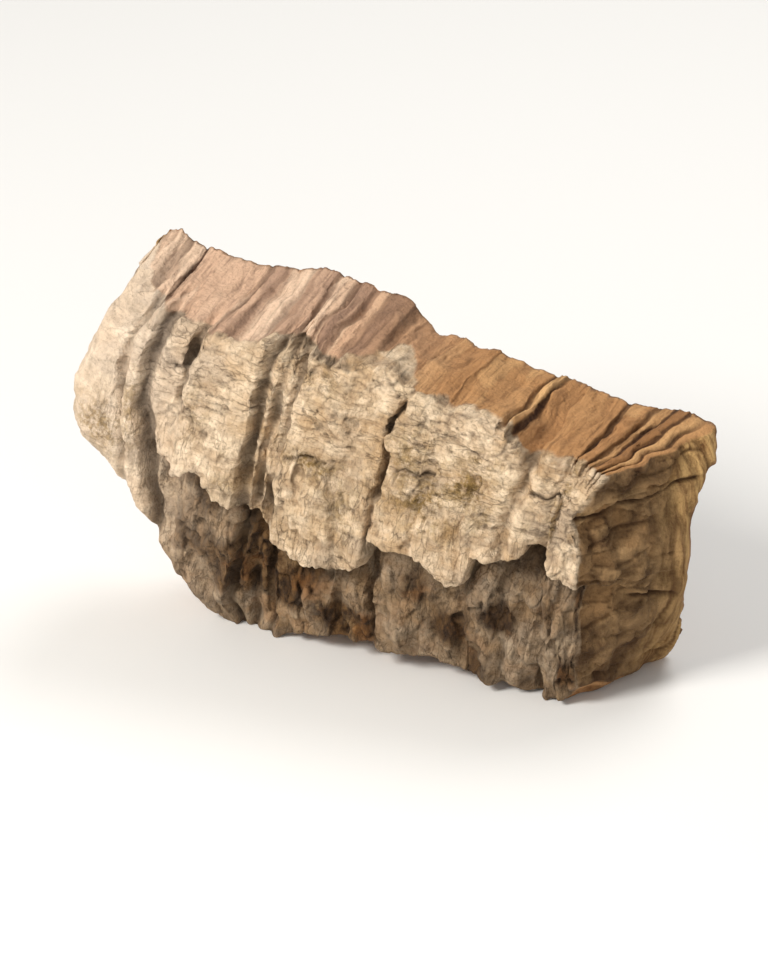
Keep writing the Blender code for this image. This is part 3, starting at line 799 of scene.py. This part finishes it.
def steady_span(tree, value, low, high):
    """0 where the value is at low, 1 where it is at high, evenly between."""
    return add(tree, "ShaderNodeMapRange", {"Value": value, "From Min": low, "From Max": high}).outputs[0]


def stretched(tree, vector, scale, shift=(0.0, 0.0, 0.0)):
    return add(tree, "ShaderNodeMapping", {"Vector": vector, "Scale": scale, "Location": shift}).outputs[0]


def cloud(tree, vector, detail=4.0, roughness=0.55, distortion=0.0):
    inputs = {"Vector": vector, "Scale": 1.0, "Detail": detail, "Roughness": roughness}
    return add(tree, "ShaderNodeTexNoise", {**inputs, "Distortion": distortion}).outputs[0]


def coloured_cloud(tree, vector, scale, detail):
    inputs = {"Vector": vector, "Scale": scale, "Detail": detail}
    return add(tree, "ShaderNodeTexNoise", inputs).outputs["Color"]


def cells(tree, vector, scale):
    """The distance to the middle of the nearest of many scattered cells."""
    inputs = {"Vector": vector, "Scale": scale, "Randomness": 1.0}
    return add(tree, "ShaderNodeTexVoronoi", inputs).outputs["Distance"]


def scaled(tree, vector, factor):
    return add(tree, "ShaderNodeVectorMath", {0: vector, 3: factor}, operation="SCALE").outputs[0]


def shifted(tree, vector, other):
    return add(tree, "ShaderNodeVectorMath", {0: vector, 1: other}, operation="ADD").outputs[0]


def attribute(tree, name, output="Fac"):
    return add(tree, "ShaderNodeAttribute", attribute_name=name).outputs[output]


def new_group(name, inputs, output):
    """An empty node group: its inputs and its output are named as {name: kind of socket}."""
    group = bpy.data.node_groups.new(name, "ShaderNodeTree")
    for way, sockets in (("INPUT", inputs), ("OUTPUT", output)):
        for label, kind in sockets.items():
            group.interface.new_socket(label, in_out=way, socket_type="NodeSocket" + kind)
    return group, group.nodes.new("NodeGroupInput").outputs, group.nodes.new("NodeGroupOutput").inputs


def use(tree, group, inputs):
    node = tree.nodes.new("ShaderNodeGroup")
    node.node_tree = group
    for key, value in inputs.items():
        if isinstance(value, bpy.types.NodeSocket):
            tree.links.new(value, node.inputs[key])
        else:
            node.inputs[key].default_value = value
    return node.outputs


def make_mottle():
    """Two colours that run into each other in soft patches."""
    inputs = {"Place": "Vector", "Light": "Color", "Dark": "Color", "Balance": "Float"}
    group, given, put = new_group("mottle", inputs, {"Colour": "Color"})
    patches = cloud(group, given["Place"], 6.0, 0.62, 0.3)
    low = sums(group, "SUBTRACT", given["Balance"], 0.14)
    high = sums(group, "ADD", given["Balance"], 0.14)
    share = steady_span(group, patches, low, high)
    group.links.new(mixed(group, share, given["Dark"], given["Light"]), put["Colour"])
    return group


def make_pores():
    """Small dark pores: a mask that is 1 inside each."""
    group, given, put = new_group("pores", {"Place": "Vector", "Size": "Float"}, {"Mask": "Float"})
    moved = shifted(group, given["Place"], coloured_cloud(group, given["Place"], 0.7, 3.0))
    inside = sums(group, "SUBTRACT", given["Size"], cells(group, moved, 1.0))
    group.links.new(steady_span(group, inside, 0.0, 0.1), put["Mask"])
    return group


def make_fissures():
    """Fine cracks that net the surface and die out in places: a mask that is 1 inside each."""
    group, given, put = new_group("fissures", {"Place": "Vector", "Width": "Float"}, {"Mask": "Float"})
    bent = scaled(group, coloured_cloud(group, given["Place"], 1.3, 5.0), 1.4)
    moved = shifted(group, given["Place"], bent)
    net = add(group, "ShaderNodeTexVoronoi", {"Vector": moved, "Scale": 1.0}, feature="DISTANCE_TO_EDGE")
    wide = stretched(group, given["Place"], (0.45, 0.45, 0.45))
    lasting = span(group, cloud(group, wide, 3.0), 0.46, 0.62)
    room = sums(group, "MULTIPLY", given["Width"], lasting)
    inside = sums(group, "SUBTRACT", room, net.outputs["Distance"])
    group.links.new(steady_span(group, inside, -0.02, 0.03), put["Mask"])
    return group


def make_deep_shade():
    """A surface colour with painted shade where it lies deep: mixed unevenly towards the Deep colour as far
    as the Shade mask goes.
    """
    inputs = {"Surface": "Color", "Deep": "Color", "Shade": "Float", "Place": "Vector"}
    group, given, put = new_group("deep_shade", inputs, {"Colour": "Color"})
    uneven = cloud(group, given["Place"], 4.0, 0.6)
    wide = sums(group, "MULTIPLY_ADD", uneven, 0.5)
    wide.node.inputs[2].default_value = 0.72
    share = sums(group, "MULTIPLY", given["Shade"], wide, clamp=True)
    group.links.new(mixed(group, share, given["Surface"], given["Deep"]), put["Colour"])
    return group


def make_fine_grain():
    """The crumb of cork: a height that is the same in all directions."""
    group, given, put = new_group("fine_grain", {"Place": "Vector", "Size": "Float"}, {"Height": "Float"})
    small = scaled(group, given["Place"], sums(group, "DIVIDE", 1.0, given["Size"]))
    crumb = cloud(group, small, 8.0, 0.68, 0.2)
    both = sums(group, "MULTIPLY_ADD", cells(group, small, 0.9), 0.35)
    group.links.new(crumb, both.node.inputs[2])
    group.links.new(both, put["Height"])
    return group


def new_material(name, roughness):
    material = bpy.data.materials.new(name)
    material.use_nodes = True
    tree = material.node_tree
    shader = tree.nodes["Principled BSDF"]
    shader.inputs["Roughness"].default_value = roughness
    return material, tree, shader


def cork_bark_material(groups):
    """Tan bark, salmon and tan broken cork, brown torn layers and the smooth inner face, each in its zone."""
    material, tree, shader = new_material("cork_bark", DULL)
    shader.inputs["Specular IOR Level"].default_value = CORK_GLOSS
    grain = attribute(tree, "grain", "Vector")
    millimetres = scaled(tree, add(tree, "ShaderNodeTexCoord").outputs["Object"], 1000.0)
    shade, tone = attribute(tree, "shade"), attribute(tree, "tone")
    along_u, up_v, out_n = add(tree, "ShaderNodeSeparateXYZ", {0: grain}).outputs

    def mottled(vector, scale, light, dark, balance):
        inputs = {"Place": stretched(tree, vector, scale), "Light": paint(light), "Dark": paint(dark)}
        return use(tree, groups["mottle"], {**inputs, "Balance": balance})[0]

    def soft_patches(scale, low, high, shift=(0.0, 0.0, 0.0), vector=grain, **look):
        return span(tree, cloud(tree, stretched(tree, vector, scale, shift), **look), low, high)

    def over(base, mask, weight, colour):
        """The base with a colour laid over it inside the mask."""
        return mixed(tree, sums(tree, "MULTIPLY", mask, weight), base, colour)

    def dimmed(base, light, dark, tint):
        """The base, multiplied by the tint where its flakes are dark."""
        return mixed(tree, span(tree, tone, light, dark), base, mixed(tree, 1.0, base, tint, "MULTIPLY"))

    # Bark face
    bark = mottled(grain, (0.17, 0.22, 0.17), BARK_LIGHT, BARK_MID, 0.47)
    warm = soft_patches((0.07, 0.09, 0.07), 0.48, 0.64, (3.0, 1.0, 0.0))
    bark = over(bark, warm, 0.6, paint(BARK_WARM))
    grey = soft_patches((0.09, 0.12, 0.09), 0.5, 0.64, (9.0, 4.0, 0.0))
    bark = over(bark, grey, 0.55, paint(BARK_GREY))
    lines = soft_patches((0.14, 1.2, 0.14), 0.54, 0.68, detail=6.0, roughness=0.65, distortion=0.5)
    bark = over(bark, lines, 0.38, paint(BARK_DARK))
    strands = soft_patches((1.3, 0.2, 1.3), 0.54, 0.7, detail=5.0, roughness=0.65)
    bark = over(bark, strands, 0.26, paint(BARK_DARK))
    flecks = soft_patches((1.4, 1.7, 1.4), 0.58, 0.7, (1.0, 0.0, 2.0), detail=5.0, roughness=0.7)
    bark = over(bark, flecks, 0.3, paint(BARK_DARK))
    bright = soft_patches((0.7, 0.9, 0.7), 0.56, 0.7, (6.0, 2.0, 5.0), detail=5.0, roughness=0.7)
    bark = over(bark, bright, 0.45, paint(BARK_LIGHT))
    bark = dimmed(bark, 0.7, 0.15, (0.78, 0.74, 0.68, 1.0))
    bark = over(bark, span(tree, along_u, 50.0, 6.0), 0.5, paint(BARK_PINK))
    damp = soft_patches((0.28, 0.28, 0.28), 0.42, 0.58, vector=millimetres, detail=8.0, roughness=0.75)
    stain = mottled(millimetres, (0.9, 0.9, 0.9), STAIN_LIGHT, STAIN_DARK, 0.46)
    bark = over(bark, attribute(tree, "stain"), damp, stain)
    upper_cracks, lower_cracks = (
        use(tree, groups["fissures"], {"Place": stretched(tree, grain, scale), "Width": 0.035})[0]
        for scale in ((0.17, 0.62, 0.17), (0.6, 0.15, 0.6))
    )
    cracks = mixed(tree, span(tree, up_v, -14.0, -30.0), upper_cracks, lower_cracks)
    cracks = sums(tree, "MULTIPLY", cracks, span(tree, along_u, -12.0, 30.0))
    bark = over(bark, cracks, 0.34, paint(BARK_DARK))

    # Torn layers under the ledge: browns darkened partly with painted shade, and more painted shade towards
    # the right end
    torn = mottled(grain, (0.45, 0.15, 0.45), TORN_LIGHT, TORN_DARK, 0.52)
    rust = soft_patches((0.13, 0.13, 0.13), 0.54, 0.64, (5.0, 7.0, 0.0))
    torn = over(torn, rust, 0.7, paint(TORN_ORANGE))
    pale_crust = soft_patches((0.2, 0.16, 0.2), 0.53, 0.66, (1.0, 9.0, 3.0), detail=5.0, roughness=0.65)
    torn = over(torn, pale_crust, 0.32, paint(BARK_WARM))
    torn = dimmed(torn, 0.6, 0.1, (0.7, 0.66, 0.6, 1.0))
    torn = over(torn, span(tree, along_u, 55.0, 25.0), 0.35, paint(BARK_GREY))
    # Painted shade: darker towards the right end
    torn = over(torn, span(tree, along_u, 55.0, 95.0), 0.4, paint(TORN_DARK))

    # Broken cork of the long edges
    along_slab = span(tree, along_u, 42.0, 90.0)
    cork = mixed(tree, along_slab, paint(SALMON), paint(TAN_CORK))
    pale_cork = mixed(tree, along_slab, paint(SALMON_LIGHT), paint(TAN_LIGHT))
    dark_cork = mixed(tree, along_slab, paint(SALMON_DARK), paint(TAN_DARK))
    broken = mixed(tree, span(tree, tone, 0.5, 1.0), cork, pale_cork)
    broken = mixed(tree, span(tree, tone, 0.55, 0.05), broken, dark_cork)
    patches = soft_patches((0.3, 0.2, 0.12), 0.5, 0.68, (4.0, 0.0, 1.0), detail=5.0, roughness=0.6)
    broken = over(broken, patches, 0.45, dark_cork)
    streaks = soft_patches((1.1, 0.3, 0.07), 0.54, 0.68, (2.0, 0.0, 0.0), roughness=0.6, distortion=0.3)
    broken = over(broken, streaks, 0.4, mixed(tree, 0.5, dark_cork, paint(STREAK_AND_SHADE)))

    # The slanted end: yellow towards the inner face, brown towards the bark
    end = mottled(grain, (0.13, 0.11, 0.13), END_BROWN, END_DARK, 0.49)
    fibres = mottled(grain, (0.3, 0.08, 0.9), END_YELLOW, TAN_DARK, 0.46)
    end = mixed(tree, span(tree, out_n, 11.0, -1.0), end, fibres)
    end = dimmed(end, 0.6, 0.1, (0.66, 0.6, 0.54, 1.0))

    # The smooth inner face
    inner = mottled(grain, (0.5, 0.05, 0.5), INNER_TAN, INNER_BROWN, 0.44)
    worn = soft_patches((0.05, 0.03, 0.05), 0.42, 0.66, (2.0, 5.0, 0.0), detail=5.0, roughness=0.6)
    inner = over(inner, worn, 0.6, paint(INNER_PALE))
    pores = use(tree, groups["pores"], {"Place": stretched(tree, grain, (0.7, 0.22, 0.7)), "Size": 0.2})[0]
    inner = over(inner, pores, 0.7, paint(STREAK_AND_SHADE))

    on_bark = attribute(tree, "bark")
    bark = mixed(tree, attribute(tree, "torn"), bark, torn)
    colour = mixed(tree, attribute(tree, "end"), broken, end)
    colour = mixed(tree, attribute(tree, "inner"), colour, inner)
    colour = mixed(tree, on_bark, colour, bark)
    # Painted shade: the colour the shade mask darkens towards, dark brown on the cork and darker on the bark
    deep = mixed(tree, on_bark, paint(STREAK_AND_SHADE), paint(CREVICE_SHADE))
    inputs = {"Surface": colour, "Deep": deep, "Shade": shade}
    inputs["Place"] = stretched(tree, millimetres, (0.8, 0.8, 0.8))
    tree.links.new(use(tree, groups["deep_shade"], inputs)[0], shader.inputs["Base Color"])

    crumb = use(tree, groups["fine_grain"], {"Place": millimetres, "Size": 0.8})[0]
    ridges = cloud(tree, stretched(tree, grain, (1.6, 0.25, 0.25)), 4.0, 0.6)
    height = sums(tree, "MULTIPLY_ADD", ridges, 0.5)
    tree.links.new(crumb, height.node.inputs[2])
    height = sums(tree, "SUBTRACT", height, sums(tree, "MULTIPLY", flecks, 0.25))
    open_cracks = sums(tree, "MULTIPLY", cracks, sums(tree, "MULTIPLY", on_bark, 0.6))
    height = sums(tree, "SUBTRACT", height, open_cracks)
    bump = add(tree, "ShaderNodeBump", {"Height": height, "Strength": 0.9, "Distance": BUMP_DEPTH})
    tree.links.new(bump.outputs[0], shader.inputs["Normal"])
    return material


def make_floor():
    bm = bmesh.new()
    bmesh.ops.create_grid(bm, x_segments=1, y_segments=1, size=FLOOR_REACH)
    mesh = bpy.data.meshes.new("floor")
    bm.to_mesh(mesh)
    bm.free()
    floor = bpy.data.objects.new("floor", mesh)
    bpy.context.scene.collection.objects.link(floor)
    material, _, shader = new_material("floor", DULL)
    shader.inputs["Base Color"].default_value = paint(FLOOR_PALE)
    mesh.materials.append(material)


# Soft round lamps, aimed at LIT_POINT: (name, place in metres, size in metres, watts, colour)
LAMPS = (
    ("key", (-0.36, -0.72, 0.66), 0.36, 11.0, (1.0, 0.98, 0.95)),
    ("fill", (0.5, -0.8, 0.35), 0.6, 1.6, (0.98, 0.99, 1.0)),
    ("top", (0.1, 0.45, 0.7), 0.5, 3.0, (1.0, 1.0, 1.0)),
)
LIT_POINT = (0.0, 0.0, 0.04)
STUDIO_LIGHT = 0.45


def area_light(name, place, size, watts, colour):
    light = bpy.data.lights.new(name, "AREA")
    light.shape = "DISK"
    light.size = size
    light.energy = watts
    light.color = colour
    lamp = bpy.data.objects.new(name, light)
    lamp.location = place
    lamp.rotation_mode = "QUATERNION"
    lamp.rotation_quaternion = (Vector(place) - Vector(LIT_POINT)).to_track_quat("Z", "Y")
    bpy.context.scene.collection.objects.link(lamp)


def make_lights():
    for lamp in LAMPS:
        area_light(*lamp)
    world = bpy.data.worlds.new("studio")
    world.use_nodes = True
    backdrop = world.node_tree.nodes["Background"].inputs
    backdrop["Color"].default_value = (1.0, 1.0, 1.0, 1.0)
    backdrop["Strength"].default_value = STUDIO_LIGHT
    bpy.context.scene.world = world
    bpy.context.scene.view_settings.view_transform = "Standard"


# The camera: its angle, its lens in millimetres, and what it sees from top to bottom and aims at, in metres
AZIMUTH = math.radians(24.0)
ELEVATION = math.radians(26.4)
LENS = 400.0
VIEW_HEIGHT = 0.226
AIM = (-0.001, 0.0, 0.041)


def make_camera():
    """A long lens at the photograph's viewing angle."""
    camera = bpy.data.cameras.new("camera")
    camera.lens = LENS
    camera.clip_start = 0.01
    back = Vector((
        math.sin(AZIMUTH) * math.cos(ELEVATION), -math.cos(AZIMUTH) * math.cos(ELEVATION), math.sin(ELEVATION)
    ))
    holder = bpy.data.objects.new("camera", camera)
    holder.location = Vector(AIM) + back * (VIEW_HEIGHT * LENS / camera.sensor_width)
    holder.rotation_mode = "QUATERNION"
    holder.rotation_quaternion = back.to_track_quat("Z", "Y")
    bpy.context.scene.collection.objects.link(holder)
    bpy.context.scene.camera = holder


# Where the solid's box has its middle before it is centred, in metres
BOX_MIDDLE = (0.06886103, -0.01198969)

groups = {
    "mottle": make_mottle(),
    "pores": make_pores(),
    "fissures": make_fissures(),
    "deep_shade": make_deep_shade(),
    "fine_grain": make_fine_grain(),
}

slab = make_slab(BOX_MIDDLE)
slab.data.materials.append(cork_bark_material(groups))
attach(slab, "root")
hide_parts("cork_bark_slab")

make_floor()
make_lights()
make_camera()
